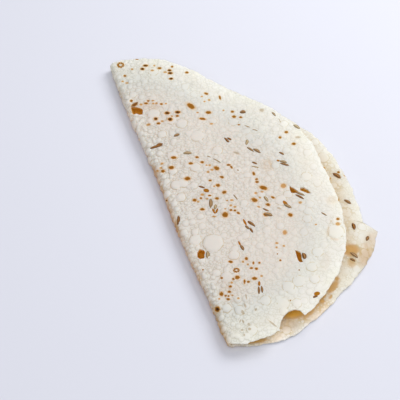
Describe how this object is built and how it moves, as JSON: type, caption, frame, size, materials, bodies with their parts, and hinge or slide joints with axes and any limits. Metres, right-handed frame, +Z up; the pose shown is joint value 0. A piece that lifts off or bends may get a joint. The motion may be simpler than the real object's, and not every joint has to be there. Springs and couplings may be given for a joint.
{
  "type": "folded papadum",
  "caption": "Thin roasted papadum with cumin seeds, folded in half: blistered pale sheet, toasted spots, a rounded fold and a wavy upper flap standing a little open.",
  "frame": {"origin": "centre of the bounding box's bottom face, on the table under the lower flap", "axes": "+Z up from the table, +Y along the fold towards its far end, +X from the fold towards the round open rim"},
  "size_m": [0.092, 0.1842, 0.015],
  "materials": {
    "roasted_dough": "matte",
    "cumin_seed": "matte"
  },
  "bodies": {
    "root": {"papadum": "roasted_dough"}
  },
  "joints": []
}
